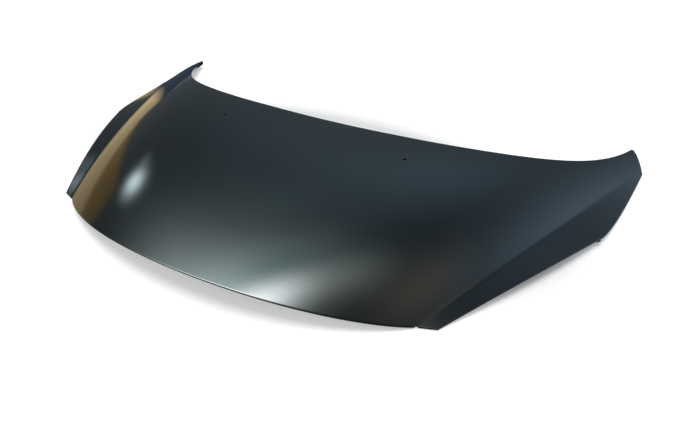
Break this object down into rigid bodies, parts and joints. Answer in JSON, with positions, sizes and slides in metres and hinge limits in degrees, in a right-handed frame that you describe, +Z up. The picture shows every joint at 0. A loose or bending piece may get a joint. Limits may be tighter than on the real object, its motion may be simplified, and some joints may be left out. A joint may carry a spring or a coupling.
{
  "type": "car bonnet",
  "caption": "Car bonnet: a crowned skin with shoulder creases and swept rear horns, hemmed round a ribbed inner frame with flat hinge and latch pads.",
  "frame": {"origin": "middle of the plan, on the floor that the bonnet lies on, outside upwards", "axes": "+X across the car to the car's left, -Y to the front edge, +Z up"},
  "size_m": [1.46, 0.8916, 0.1007],
  "materials": {
    "skin_primer": "glossy dark primer",
    "frame_primer": "satin dark primer",
    "plate_primer": "satin dark primer",
    "zinc": "zinc plated",
    "mastic": "matt"
  },
  "bodies": {
    "root": {"outer_skin": "skin_primer", "inner_frame": "frame_primer", "hinge_reinforcement_left": "plate_primer", "hinge_reinforcement_right": "plate_primer", "latch_reinforcement": "plate_primer", "hinge_nut_left_front": "zinc", "hinge_nut_left_rear": "zinc", "hinge_nut_right_front": "zinc", "hinge_nut_right_rear": "zinc", "latch_nut_left": "zinc", "latch_nut_right": "zinc", "mastic_dab_01": "mastic", "mastic_dab_02": "mastic", "mastic_dab_03": "mastic", "mastic_dab_04": "mastic", "mastic_dab_05": "mastic", "mastic_dab_06": "mastic", "mastic_dab_07": "mastic", "mastic_dab_08": "mastic", "mastic_dab_09": "mastic", "mastic_dab_10": "mastic", "mastic_dab_11": "mastic", "mastic_dab_12": "mastic"}
  },
  "joints": []
}
